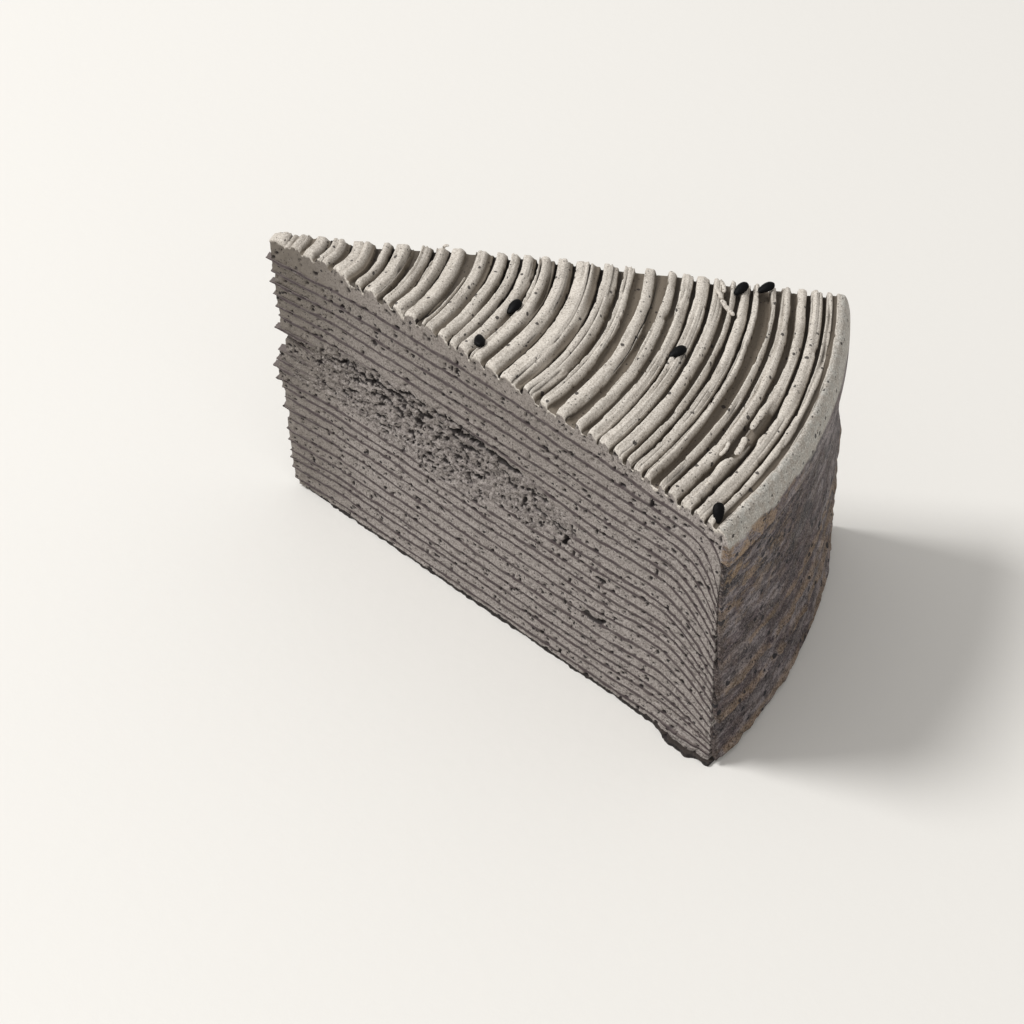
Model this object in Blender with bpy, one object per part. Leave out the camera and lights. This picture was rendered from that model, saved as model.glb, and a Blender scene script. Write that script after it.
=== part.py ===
"""Slice of black sesame crepe cake, a tenth of a round cake standing as cut.

Twenty-three thin crepes alternate with whipped cream, each a wedge that runs through the whole slice.
All of them bend down at the rim, and four crepes are wide enough to hang over the rim as skirts.
The thick cream on top is combed into rings round the tip and carries six sesame seeds.
The slice is modelled in millimetres from the middle axis of the cake, and then moved so that the
middle of its underside is the origin.
"""

import math
import random

import bmesh
import bpy
import numpy as np

MM = 0.001

# The wedge
SLICE_ANGLE = 36.0
TIP_BLEND = 12.0
BEND_START = 89.0
CORE_RADIUS = 100.0
CORE_SPREAD = 2.4
SKIRT_FLARE = 0.95
SKIRT_GAP = 0.32
SKIRT_HALF = 0.33
SKIRT_TURN = 1.4
SKIRT_ROW = 6.0
HEM_WANDER = 0.45
HEM_WAVES = 5.0
ANGLE_STEPS = 5
TOP_ANGLE_STEPS = 10
COLUMNS = (0.0, TIP_BLEND, 35.0, 60.0, 78.0, BEND_START, 93.5, 97.0)

# The stack, from the plate upwards: the middle of each crepe lies this much above the one below it
CREPE_HALF = 0.35
LAYER_GAP = 0.12
LOWEST_MIDDLE = 0.37
CREPE_SPACING = (
    1.4, 2.5, 2.3, 1.8, 2.5, 2.5, 2.9, 2.8, 2.6, 2.2, 2.1,
    2.9, 1.8, 2.8, 3.2, 2.4, 2.6, 2.7, 2.7, 2.5, 2.8, 2.8,
)
RIM_DROP = 8.2
RIM_DROP_START = 1.6
RIM_DROP_REACH = 10.0
TOP_SHOULDER = 1.3
BEND_POWER = 1.7
TOP_BEND_POWER = 4.3

# The crepes' shape along the slice: a dome that grows towards the top, and a sag in the lower half
DOME_HEIGHT = 0.95
DOME_FALL = 2.6
DOME_MIDDLE = 33.0
DOME_SPREAD = 57.0
SAG_SCALE = 7.0
SAG_AT_TIP = 0.6
SAG_REACH = 70.0
RIM_SAG_START = 75.0
RIM_SAG_LENGTH = 14.0
RIPPLE_ALONG = 0.12
RIPPLE_ACROSS = 0.1
RIPPLES_ACROSS = 4.0

# Crepes that hang over the rim, by number from the bottom, with the height of each hem
SKIRT_HEMS = {7: 1.5, 11: 10.6, 15: 17.4, 23: 24.6}

# The ragged tip, layer by layer from the plate: the upper half overhangs, with a slot under crepe 17
TIP_HALF_WIDTH = 0.6
CREPE_TIPS = (
    2.5, 0.2, -0.4, -0.6, -0.5, -0.9, -1.0, -0.5, -1.5, -0.9, -1.1, -2.3,
    -2.8, -2.0, -1.4, 2.0, -1.8, -0.9, -1.3, -1.5, -2.1, -1.7, -2.4,
)
CREAM_TIPS = (
    0.9, 0.1, -0.2, -0.3, -0.3, -0.5, -0.6, -0.2, -0.7, -0.7, -1.2,
    -1.7, -1.6, -1.2, 0.2, 2.6, -0.6, -0.6, -0.9, -1.1, -0.9, -1.3,
)

# The tear in the front cut, and the foot that spreads out of it
TEAR_DEPTH = 0.5
TEAR_HEIGHT = 35.0
TEAR_HALF_HEIGHT = 8.0
TEAR_RADIUS = 38.0
TEAR_HALF_LENGTH = 32.0
FOOT_FLARE = 2.4
FOOT_REACH = 0.8
FOOT_FLARE_START = 89.0
FOOT_FLARE_LENGTH = 8.0
FOOT_FLARE_LOSS = 0.55

# The combed top
TOP_AT_TIP = 61.6
TOP_FALL = 5.6
TOP_FALL_POWER = 3.2
BACK_LIFT = 1.5
BACK_LIFT_START = 80.0
BACK_LIFT_LENGTH = 19.0
TOP_TIP = -1.2
TOP_TIP_HALF_WIDTH = 0.8
TIP_ROUNDING = 3.0
TIP_SINK = 0.35
EDGE_SINK = 0.25
COMB_DEPTH = 1.5
COMB_DEPTH_AT_TIP = 0.4
COMB_WANDER = 0.16
NARROW_WALL = 0.45
WIDE_FLOOR_HALF = 0.75
WIDE_WALL = 1.05
CROWN_LEAST = 0.1
CROWN_SPREAD = 0.2
GROOVES = (
    4.4, 7.2, 10.0, 13.4, 18.4, 21.0, 24.9, 27.9, 30.6, 34.2, 38.4, 41.0, 43.1, 46.0, 49.4, 52.7, 57.6,
    61.0, 64.1, 68.0, 71.0, 73.7, 76.6, 79.4, 81.2, 83.6, 86.0, 88.4, 91.2, 93.8, 96.6,
)
WIDE_GROOVES = (18.4, 24.9, 34.2, 64.1, 68.0, 86.0)
COLLAR_START = 98.2
COLLAR_RADIUS = 101.7
COLLAR_FOOT = 48.8
COLLAR_EDGE = 0.8
COLLAR_ROUND = 1.2
LIP_DEPTH = 1.2
LIP_RISE = 0.1

# Sesame seeds: distance from the tip, angle from the front cut, heading, how deep it lies, and its tilt
SEED_LENGTH = 3.4
SEED_WIDTH = 1.9
SEED_THICKNESS = 1.2
SEED_LIFT = 0.25
SEED_BROADENING = 0.25
SEEDS = (
    (45.5, 3.7, -63.0, 0.1, 6.0),
    (45.7, 17.3, 74.0, 0.4, 14.0),
    (74.7, 19.4, 56.0, 0.1, 10.0),
    (81.8, 34.1, 68.0, 0.0, 12.0),
    (86.1, 34.9, 52.0, 0.0, 12.0),
    (97.4, 1.1, 110.0, 0.1, 34.0),
)

CREPE_COLOUR = (0.085, 0.066, 0.068)
CREAM_COLOUR = (0.27, 0.25, 0.235)
TOP_COLOUR = (0.46, 0.43, 0.385)
SOGGY_COLOUR = (0.04, 0.032, 0.03)

chance = random.Random(23)

crepe_heights = [LOWEST_MIDDLE]
for spacing in CREPE_SPACING:
    crepe_heights.append(crepe_heights[-1] + spacing)
CREPES = len(crepe_heights)
waves = []
for _ in range(CREPES):
    # The length, the start and the sideways turn of each crepe's ripples
    waves.append((chance.uniform(24, 46), chance.uniform(0, math.tau), chance.uniform(0, math.tau)))
half_angle = math.radians(SLICE_ANGLE / 2)
layer_angles = np.linspace(-half_angle, half_angle, ANGLE_STEPS + 1)


def smooth(value):
    """0 below 0, 1 above 1, and an S curve between."""
    inside = np.clip(value, 0.0, 1.0)
    return inside * inside * (3 - 2 * inside)


def core_radius(height):
    """Radius at which the layers end behind the skirts: the cake spreads a little towards its foot."""
    depth = np.clip((50.0 - height) / 50.0, 0.0, 1.0)
    return CORE_RADIUS + CORE_SPREAD * depth**1.3


def rim_drop(height):
    """How far a layer at this height sinks before it meets the skin."""
    return RIM_DROP * (1 - math.exp(-max(height - RIM_DROP_START, 0.0) / RIM_DROP_REACH))


def end_radius(number):
    height = crepe_heights[number - 1]
    return float(core_radius(height - rim_drop(height)))


def crepe_middle(number, radius, angle):
    """Height of the middle of a crepe: domed near the top, sagging below, and bent down at the rim."""
    height = crepe_heights[number - 1]
    share = height / crepe_heights[-1]
    length, phase, turn = waves[number - 1]
    inner = np.maximum(radius, TIP_BLEND)
    dome = DOME_HEIGHT - DOME_FALL * ((inner - DOME_MIDDLE) / DOME_SPREAD) ** 2
    sag = SAG_AT_TIP * (1 + np.cos(np.pi * np.minimum(inner, SAG_REACH) / SAG_REACH))
    sag = sag + smooth((inner - RIM_SAG_START) / RIM_SAG_LENGTH)
    ripple = RIPPLE_ALONG * np.sin(math.tau * inner / length + phase)
    ripple = ripple + RIPPLE_ACROSS * np.sin(RIPPLES_ACROSS * angle + turn)
    bend_end = end_radius(number) + (TOP_SHOULDER if number == CREPES else 0.0)
    reach = np.maximum(radius - BEND_START, 0.0) / (bend_end - BEND_START)
    power = BEND_POWER + TOP_BEND_POWER * share**8
    return (
        height
        + share**2 * dome
        + SAG_SCALE * share * (1 - share) ** 2 * sag
        + min(height / 4.0, 1.0) * ripple
        - rim_drop(height) * reach**power
    )


def crepe_half(number, radius, angle):
    """Half of the crepe's upright thickness, which grows where it slopes and thins out at the rim."""
    step = 0.05
    rise = crepe_middle(number, radius + step, angle) - crepe_middle(number, radius - step, angle)
    slope = np.minimum(np.sqrt(1 + (rise / (2 * step)) ** 2), 1.5)
    return CREPE_HALF * slope * (1 - 0.25 * smooth((radius - 93.0) / 6.0))


def plan(radius, angle, tip, width):
    """X and Y of a point of the wedge. Inside TIP_BLEND the two cuts run straight to a blunt tip."""
    share = np.minimum(radius / TIP_BLEND, 1.0)
    far = np.maximum(radius, TIP_BLEND)
    x = tip * (1 - share) + far * np.cos(angle) * share
    y = width * (angle / half_angle) * (1 - share) + far * np.sin(angle) * share
    return x, y


def front_shift(radius, height, front):
    """How far the front cut is set back by the tear at this radius and height."""
    along = np.clip(1 - ((radius - TEAR_RADIUS) / TEAR_HALF_LENGTH) ** 2, 0.0, 1.0)
    up = max(1 - ((height - TEAR_HEIGHT) / TEAR_HALF_HEIGHT) ** 2, 0.0)
    return TEAR_DEPTH * along * up * front


def grid(columns, angles, heights, level, tip, width, flare=0.0):
    """Points of one surface, one row of them for each radius."""
    radius, angle = np.meshgrid(columns, angles, indexing="ij")
    x, y = plan(radius, angle, tip, width)
    front = (angle <= angles[0] + 1e-9).astype(float)
    past = (radius - FOOT_FLARE_START) / FOOT_FLARE_LENGTH
    spread = flare * smooth(past) * (1 - FOOT_FLARE_LOSS * smooth(past - 1))
    shift = front_shift(radius, level, front) - front * spread
    x = x + shift * math.sin(half_angle)
    y = y + shift * math.cos(half_angle)
    return np.stack([x, y, heights], axis=-1)


def add_object(name, points, faces, colour, roughness):
    mesh = bpy.data.meshes.new(name)
    mesh.from_pydata((np.asarray(points) * MM).tolist(), [], faces)
    material = bpy.data.materials.new(name)
    material.use_nodes = True
    surface = material.node_tree.nodes["Principled BSDF"]
    surface.inputs["Base Color"].default_value = (*colour, 1.0)
    surface.inputs["Roughness"].default_value = roughness
    surface.inputs["Metallic"].default_value = 0.0
    mesh.materials.append(material)
    shape = bmesh.new()
    shape.from_mesh(mesh)
    bmesh.ops.triangulate(shape, faces=shape.faces[:], ngon_method="EAR_CLIP")
    bmesh.ops.recalc_face_normals(shape, faces=shape.faces[:])
    shape.to_mesh(mesh)
    shape.free()
    thing = bpy.data.objects.new(name, mesh)
    bpy.context.scene.collection.objects.link(thing)
    return thing


def sheet_faces(rows, across):
    """Faces of a closed sheet: an upper grid, then a lower one of the same size, joined round the edge."""
    below = rows * across
    faces = []
    for i in range(rows - 1):
        for j in range(across - 1):
            a, b = i * across + j, (i + 1) * across + j
            faces.append((a, b, b + 1, a + 1))
            faces.append((below + a, below + a + 1, below + b + 1, below + b))
        for j in (0, across - 1):
            a, b = i * across + j, (i + 1) * across + j
            faces.append((a, b, below + b, below + a))
    for i in (0, rows - 1):
        for j in range(across - 1):
            a = i * across + j
            faces.append((a, a + 1, below + a + 1, below + a))
    return faces


def skirt_rows(number, start):
    """Upper and lower points of the stretch of a crepe that hangs outside the cake, hem last."""
    hem = SKIRT_HEMS[number]
    count = max(2, round((start - hem) / SKIRT_ROW)) + 1
    wander = HEM_WANDER * np.sin(HEM_WAVES * layer_angles + waves[number - 1][2])
    share = (np.arange(1, count + 1) / count)[:, None]
    first = start - SKIRT_TURN
    height = first + (hem + wander[None, :] - first) * (share - share[0]) / (1 - share[0])
    radius = core_radius(height) + SKIRT_GAP + SKIRT_HALF + SKIRT_FLARE * share**4
    angle = np.broadcast_to(layer_angles, radius.shape)
    outward = np.gradient(radius, axis=0)
    downward = np.gradient(height, axis=0)
    length = np.hypot(outward, downward)
    across, up = -downward / length * SKIRT_HALF, outward / length * SKIRT_HALF
    sides = []
    for sign in (1, -1):
        r = radius + sign * across
        sides.append(np.stack([r * np.cos(angle), r * np.sin(angle), height + sign * up], axis=-1))
    return sides


def make_crepe(number):
    bottom = number == 1
    end = end_radius(number) + (FOOT_REACH if bottom else 0.0)
    columns = np.array([*COLUMNS, end])
    radius, angle = np.meshgrid(columns, layer_angles, indexing="ij")
    middle = crepe_middle(number, radius, angle)
    half = crepe_half(number, radius, angle)
    level = crepe_heights[number - 1]
    tip = CREPE_TIPS[number - 1]
    low = np.zeros_like(middle) if bottom else middle - half
    flare = FOOT_FLARE if bottom else 0.0
    upper = grid(columns, layer_angles, middle + half, level, tip, TIP_HALF_WIDTH, flare)
    lower = grid(columns, layer_angles, low, level, tip, TIP_HALF_WIDTH, flare)
    if number in SKIRT_HEMS:
        outside, inside = skirt_rows(number, float(middle[-1].mean()))
        upper = np.concatenate([upper, outside])
        lower = np.concatenate([lower, inside])
    rows, across = upper.shape[:2]
    points = np.concatenate([upper.reshape(-1, 3), lower.reshape(-1, 3)])
    colour = SOGGY_COLOUR if bottom else CREPE_COLOUR
    return add_object(f"crepe_{number:02d}", points, sheet_faces(rows, across), colour, 0.75)


def make_cream(number):
    """The cream between one crepe and the next."""
    level = (crepe_heights[number - 1] + crepe_heights[number]) / 2
    end = (end_radius(number) + end_radius(number + 1)) / 2
    columns = np.array([*COLUMNS, end])
    radius, angle = np.meshgrid(columns, layer_angles, indexing="ij")
    low = crepe_middle(number, radius, angle) + crepe_half(number, radius, angle) + LAYER_GAP
    above = number + 1
    high = crepe_middle(above, radius, angle) - crepe_half(above, radius, angle) - LAYER_GAP
    tip = CREAM_TIPS[number - 1]
    upper = grid(columns, layer_angles, high, level, tip, TIP_HALF_WIDTH)
    lower = grid(columns, layer_angles, low, level, tip, TIP_HALF_WIDTH)
    rows, across = upper.shape[:2]
    points = np.concatenate([upper.reshape(-1, 3), lower.reshape(-1, 3)])
    return add_object(f"cream_{number:02d}", points, sheet_faces(rows, across), CREAM_COLOUR, 0.6)


def crest_height(radius):
    """Height of the ridges: level near the tip and falling towards the rim, with the tip itself rounded."""
    rounding = TIP_SINK * np.clip(1 - radius / TIP_ROUNDING, 0.0, 1.0) ** 2
    return TOP_AT_TIP - TOP_FALL * (radius / 100.0) ** TOP_FALL_POWER - rounding


def back_lift(radius, angle):
    """How much higher the cream lies towards the back corner of the rim."""
    across = (angle + half_angle) / (2 * half_angle)
    return BACK_LIFT * smooth((radius - BACK_LIFT_START) / BACK_LIFT_LENGTH) * across**1.5


def comb_profile():
    """Radius and depth below the crests along the combed cream, groove by groove."""
    profile = [(0.0, 0.0), (GROOVES[0] - 2 * NARROW_WALL, 0.0)]
    for place, groove in enumerate(GROOVES):
        depth = COMB_DEPTH_AT_TIP + (COMB_DEPTH - COMB_DEPTH_AT_TIP) * float(smooth((groove - 6.0) / 14.0))
        depth *= chance.uniform(0.8, 1.1)
        if groove in WIDE_GROOVES:
            profile += [(groove - WIDE_FLOOR_HALF, depth), (groove + WIDE_FLOOR_HALF, depth)]
            wall = WIDE_WALL
        else:
            profile.append((groove, depth))
            wall = NARROW_WALL
        following = GROOVES[place + 1] if place + 1 < len(GROOVES) else COLLAR_START
        next_wall = WIDE_WALL if following in WIDE_GROOVES else NARROW_WALL
        crown = CROWN_LEAST + CROWN_SPREAD * chance.random()
        profile += [(groove + wall, crown), (following - next_wall, crown * chance.random())]
    return np.array(profile)


def collar_profile():
    """Radius and height down the smooth collar, a quarter of an oval from the last ridge to its foot."""
    turn = np.linspace(0.0, math.pi / 2, 5)
    radius = COLLAR_START + (COLLAR_RADIUS - COLLAR_START) * np.sin(turn)
    foot = COLLAR_FOOT + COLLAR_EDGE
    height = foot + (crest_height(COLLAR_START) - foot) * np.cos(turn) ** COLLAR_ROUND
    return radius, height


def make_top():
    angles = np.linspace(-half_angle, half_angle, TOP_ANGLE_STEPS + 1)
    tip, width = TOP_TIP, TOP_TIP_HALF_WIDTH
    comb = comb_profile()
    collar, collar_height = collar_profile()
    columns = np.concatenate([comb[:, 0], collar])
    radius, angle = np.meshgrid(columns, angles, indexing="ij")
    lift = back_lift(radius, angle)
    crest = crest_height(radius) + lift
    edge = smooth((np.abs(angle) / half_angle - 0.8) / 0.2)
    combed = crest[: len(comb)] - comb[:, 1][:, None] - EDGE_SINK * edge[: len(comb)]
    wander = COMB_WANDER * np.sin(9.0 * angle + radius / 7.0) * smooth((radius - 5.0) / 8.0)
    inside = (radius < COLLAR_START) & (radius > 0)
    radius = radius + np.where(inside, wander, 0.0)
    shrinking = (collar_height - collar_height[-1]) / (collar_height[0] - collar_height[-1])
    smoothed = collar_height[:, None] + lift[len(comb) :] * shrinking[:, None]
    height = np.concatenate([combed, smoothed])
    x, y = plan(radius, angle, tip, width)
    upper = np.stack([x, y, height], axis=-1)
    end = end_radius(CREPES)
    under = np.array([*COLUMNS, end])
    low_radius, low_angle = np.meshgrid(under, layer_angles, indexing="ij")
    low = crepe_middle(CREPES, low_radius, low_angle) + crepe_half(CREPES, low_radius, low_angle) + LAYER_GAP
    lower = grid(under, layer_angles, low, TOP_AT_TIP, tip, width)
    lip_columns = [end + LIP_DEPTH, COLLAR_RADIUS]
    lip_radius, lip_angle = np.meshgrid(lip_columns, layer_angles, indexing="ij")
    lip_height = COLLAR_FOOT + LIP_RISE * (COLLAR_RADIUS - lip_radius)
    lip = grid(lip_columns, layer_angles, lip_height, TOP_AT_TIP, tip, width)
    lower = np.concatenate([lower, lip])
    rows, across = upper.shape[:2]
    low_rows, low_across = lower.shape[:2]
    below = rows * across
    faces = []
    for i in range(rows - 1):
        for j in range(across - 1):
            a, b = i * across + j, (i + 1) * across + j
            faces.append((a, b, b + 1, a + 1))
    for i in range(low_rows - 1):
        for j in range(low_across - 1):
            a, b = below + i * low_across + j, below + (i + 1) * low_across + j
            faces.append((a, a + 1, b + 1, b))
    # Each cut face joins the fine combed edge to the plain lower edge, one stretch at a time.
    meeting = [int(np.argmin(np.abs(columns - low_column))) for low_column in [*under, *lip_columns]]
    meeting[-1] = rows - 1
    for fine_side, low_side in ((0, 0), (across - 1, low_across - 1)):
        for i in range(low_rows - 1):
            fine = [k * across + fine_side for k in range(meeting[i], meeting[i + 1] + 1)]
            plain = [below + (i + 1) * low_across + low_side, below + i * low_across + low_side]
            faces.append((*fine, *plain))
    finer = TOP_ANGLE_STEPS // ANGLE_STEPS
    for fine_row, low_row in ((0, 0), (rows - 1, low_rows - 1)):
        for j in range(low_across - 1):
            fine = [fine_row * across + j * finer + k for k in range(finer + 1)]
            plain = [below + low_row * low_across + j + 1, below + low_row * low_across + j]
            faces.append((*fine, *plain))
    points = np.concatenate([upper.reshape(-1, 3), lower.reshape(-1, 3)])
    return add_object("top_cream", points, faces, TOP_COLOUR, 0.6)


def make_seed(radius, angle, heading, sunk, tilt):
    """A flat drop of thirty-six triangles, broad at one end, tilted nose up and turned to its heading."""
    rings, sides = 3, 6
    points = [(-0.5, 0.0, 0.0)]
    for ring in range(1, rings + 1):
        along = -math.cos(math.pi * ring / (rings + 1))
        girth = math.sin(math.pi * ring / (rings + 1)) * (1 + SEED_BROADENING * along)
        for side in range(sides):
            turn = math.tau * side / sides
            points.append((along / 2, girth * math.cos(turn) / 2, girth * math.sin(turn) / 2))
    points.append((0.5, 0.0, 0.0))
    last = len(points) - 1
    faces = []
    for side in range(sides):
        after = (side + 1) % sides
        faces.append((0, 1 + after, 1 + side))
        for ring in range(rings - 1):
            a, b = 1 + ring * sides, 1 + (ring + 1) * sides
            faces.append((a + side, a + after, b + after, b + side))
        faces.append((last, last - sides + side, last - sides + after))
    place = math.radians(angle) - half_angle
    turn = math.radians(heading)
    nose = math.radians(tilt)
    height = float(crest_height(radius) + back_lift(radius, place)) + SEED_LIFT - sunk
    placed = []
    for x, y, z in points:
        x, y, z = x * SEED_LENGTH, y * SEED_WIDTH, z * SEED_THICKNESS
        x, z = x * math.cos(nose) - z * math.sin(nose), x * math.sin(nose) + z * math.cos(nose)
        placed.append(
            (
                radius * math.cos(place) + x * math.cos(turn) - y * math.sin(turn),
                radius * math.sin(place) + x * math.sin(turn) + y * math.cos(turn),
                height + z,
            )
        )
    return add_object("seed", placed, faces, SOGGY_COLOUR, 0.4)


def fuse_seeds(top):
    """Joins the seeds to the cream that they lie on, as one closed solid."""
    seeds = bpy.data.collections.new("seeds")
    bpy.context.scene.collection.children.link(seeds)
    for place in SEEDS:
        seed = make_seed(*place)
        bpy.context.scene.collection.objects.unlink(seed)
        seeds.objects.link(seed)
    union = top.modifiers.new("seeds", "BOOLEAN")
    union.operation = "UNION"
    union.operand_type = "COLLECTION"
    union.collection = seeds
    union.solver = "EXACT"
    bpy.context.view_layer.objects.active = top
    top.select_set(True)
    bpy.ops.object.modifier_apply(modifier=union.name)
    for seed in list(seeds.objects):
        bpy.data.objects.remove(seed, do_unlink=True)
    bpy.data.collections.remove(seeds)


def settle(things):
    """Moves every mesh so that the middle of the slice's underside is the origin."""
    lows, highs = [], []
    for thing in things:
        points = np.empty(len(thing.data.vertices) * 3, np.float32)
        thing.data.vertices.foreach_get("co", points)
        points = points.reshape(-1, 3)
        lows.append(points.min(axis=0))
        highs.append(points.max(axis=0))
    low, high = np.min(lows, axis=0), np.max(highs, axis=0)
    shift = np.array([-(low[0] + high[0]) / 2, -(low[1] + high[1]) / 2, -low[2]])
    for thing in things:
        points = np.empty(len(thing.data.vertices) * 3, np.float32)
        thing.data.vertices.foreach_get("co", points)
        points = (points.reshape(-1, 3) + shift).astype(np.float32)
        thing.data.vertices.foreach_set("co", points.ravel())
        thing.data.update()
    print("the cake's axis lies at", shift[:2] / MM, "mm")


def main():
    for thing in list(bpy.data.objects):
        bpy.data.objects.remove(thing, do_unlink=True)
    things = [make_crepe(number) for number in range(1, CREPES + 1)]
    things += [make_cream(number) for number in range(1, CREPES)]
    top = make_top()
    fuse_seeds(top)
    settle([*things, top])


main()
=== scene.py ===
import math
import random

import bpy
import numpy as np
from mathutils import Matrix, Vector
from mathutils.geometry import delaunay_2d_cdt


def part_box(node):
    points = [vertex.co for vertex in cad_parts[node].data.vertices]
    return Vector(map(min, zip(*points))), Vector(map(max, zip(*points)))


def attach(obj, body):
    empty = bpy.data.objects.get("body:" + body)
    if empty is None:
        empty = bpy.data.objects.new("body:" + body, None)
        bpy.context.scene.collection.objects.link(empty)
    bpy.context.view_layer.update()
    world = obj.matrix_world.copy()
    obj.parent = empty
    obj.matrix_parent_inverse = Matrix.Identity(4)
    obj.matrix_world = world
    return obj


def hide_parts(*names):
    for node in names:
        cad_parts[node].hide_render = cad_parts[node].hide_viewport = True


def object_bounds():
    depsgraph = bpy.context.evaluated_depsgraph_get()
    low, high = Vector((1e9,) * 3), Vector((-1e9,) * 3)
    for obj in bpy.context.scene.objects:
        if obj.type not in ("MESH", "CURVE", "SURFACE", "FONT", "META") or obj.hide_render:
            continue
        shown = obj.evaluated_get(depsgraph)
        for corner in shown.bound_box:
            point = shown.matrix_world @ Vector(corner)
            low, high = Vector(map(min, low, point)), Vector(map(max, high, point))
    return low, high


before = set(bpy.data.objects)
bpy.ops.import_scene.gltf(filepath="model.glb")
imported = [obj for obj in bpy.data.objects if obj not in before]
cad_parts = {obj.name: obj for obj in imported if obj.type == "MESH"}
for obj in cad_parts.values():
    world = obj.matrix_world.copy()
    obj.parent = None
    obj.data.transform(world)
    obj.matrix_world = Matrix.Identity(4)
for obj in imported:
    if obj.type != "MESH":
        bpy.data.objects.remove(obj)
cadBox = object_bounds()
mm = 0.001

# the slice's sizes, as in the solids: millimetres and degrees from the cake's own axis
cake = {
    "axisX": -50.62196, "axisY": 0.43627, "sliceAngle": 36.0, "tipBlend": 12.0, "bendStart": 89.0,
    "coreRadius": 100.0, "coreSpread": 2.4, "crepeHalf": 0.38, "rimDrop": 8.2, "topShoulder": 1.3,
    "lowest": 0.37, "footReach": 0.8, "snug": 0.2,
    "spacing": (1.4, 2.5, 2.3, 1.8, 2.5, 2.5, 2.9, 2.8, 2.6, 2.2, 2.1,
                2.9, 1.8, 2.8, 3.2, 2.4, 2.6, 2.7, 2.7, 2.5, 2.8, 2.8),
}
skirts = {
    "hems": {7: 1.5, 11: 10.6, 15: 17.4, 23: 24.6},  # how high each wide crepe's hem hangs
    "gap": 0.65, "flare": 0.95, "half": 0.33, "ragged": 0.6, "tatter": 0.55, "turn": 1.6,
}
sampling = {  # steps of the meshes in millimetres, and numbers of rows
    "front": 0.26, "back": 0.42, "rim": 0.9, "skirt": 0.4, "net": 7.0,
    "tip": 6, "crepeRows": 3, "creamRows": 6,
}

halfAngle = math.radians(cake["sliceAngle"] / 2)
crepeHeights = np.cumsum([cake["lowest"], *cake["spacing"]]).tolist()
crepeCount = len(crepeHeights)
draw = random.Random(23)  # the draws that the solids make, in their order
waves = [(draw.uniform(24, 46), draw.uniform(0, math.tau), draw.uniform(0, math.tau))
         for number in range(crepeCount)]  # each crepe's ripple length, phase and turn


def smooth(t):  # 3t² - 2t³ between 0 and 1
    t = np.clip(t, 0.0, 1.0)
    return t * t * (3 - 2 * t)


def bell(x, width):  # e to the minus (x / width)²
    return np.exp(-(x / width) ** 2)


def latticeValue(i, j, k, seed):
    # a number from 0 to 1 for each lattice point, from its whole coordinates multiplied and folded
    h = (i.astype(np.int64) * 374761393 + j.astype(np.int64) * 668265263
         + k.astype(np.int64) * 2147483647 + seed * 974634777) & 0xFFFFFFFF
    h = ((h ^ (h >> 13)) * 1274126177) & 0xFFFFFFFF
    h = ((h ^ (h >> 15)) * 2246822519) & 0xFFFFFFFF
    return ((h ^ (h >> 16)) & 0xFFFFFF) / float(0xFFFFFF)


def noise(x, y, z, seed=0):
    # lattice values from -1 to 1, blended by 3t² - 2t³ along each axis
    x, y, z = np.broadcast_arrays(np.asarray(x, float), y, z)
    cellX, cellY, cellZ = np.floor(x), np.floor(y), np.floor(z)
    shareX, shareY, shareZ = smooth(x - cellX), smooth(y - cellY), smooth(z - cellZ)
    total = 0.0
    for i in (0, 1):
        for j in (0, 1):
            for k in (0, 1):
                part = (shareX if i else 1 - shareX) * (shareY if j else 1 - shareY)
                part = part * (shareZ if k else 1 - shareZ)
                total = total + part * latticeValue(cellX + i, cellY + j, cellZ + k, seed)
    return total * 2 - 1


def layeredNoise(x, y, z, octaves, seed=0, gain=0.5):
    # a sum of noises, each twice as fine as the one before and gain times as strong
    total, strength, finer, most = 0.0, 1.0, 1.0, 0.0
    for step in range(octaves):
        place = x * finer + 17.3 * step, y * finer - 9.1 * step, z * finer + 4.7
        total = total + strength * noise(*place, seed + step)
        most += strength
        strength *= gain
        finer *= 2.03
    return total / most


def pitDepth(u, v, cell, share, small, large, seed):
    # round hollows strewn over a plane, one in a share of the cells, each 1 - (distance / size)² deep
    cellU, cellV = np.floor(u / cell), np.floor(v / cell)
    zero = np.zeros_like(cellU)
    depth = np.zeros_like(cellU)
    for stepU in (-1, 0, 1):
        for stepV in (-1, 0, 1):
            i, j = cellU + stepU, cellV + stepV
            middleU = (i + 0.2 + 0.6 * latticeValue(i, j, zero, seed + 1)) * cell
            middleV = (j + 0.2 + 0.6 * latticeValue(i, j, zero, seed + 2)) * cell
            size = small + (large - small) * latticeValue(i, j, zero, seed + 3) ** 2
            flat = 0.7 + 0.9 * latticeValue(i, j, zero, seed + 4)
            away = ((u - middleU) / (size * flat)) ** 2 + ((v - middleV) * flat / size) ** 2
            there = latticeValue(i, j, zero, seed) < share
            depth = np.maximum(depth, np.where(there, np.clip(1 - away, 0, 1) * np.minimum(size, 1.0), 0.0))
    return depth


# The form of the layers

def coreRadius(height):  # the cake spreads a little towards its foot
    return cake["coreRadius"] + cake["coreSpread"] * np.clip((50.0 - height) / 50.0, 0.0, 1.0) ** 1.3


def rimDrop(height):  # how far a layer sinks on its way to the skin
    return cake["rimDrop"] * (1 - math.exp(-max(height - 1.6, 0.0) / 10.0))


def endRadius(number):
    height = crepeHeights[number - 1]
    return float(coreRadius(height - rimDrop(height)))


def levelEnd(number):  # where the level part of a crepe ends
    if number in skirts["hems"]:
        return endRadius(number)
    return endRadius(number) + (cake["footReach"] if number == 1 else cake["snug"])


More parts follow.
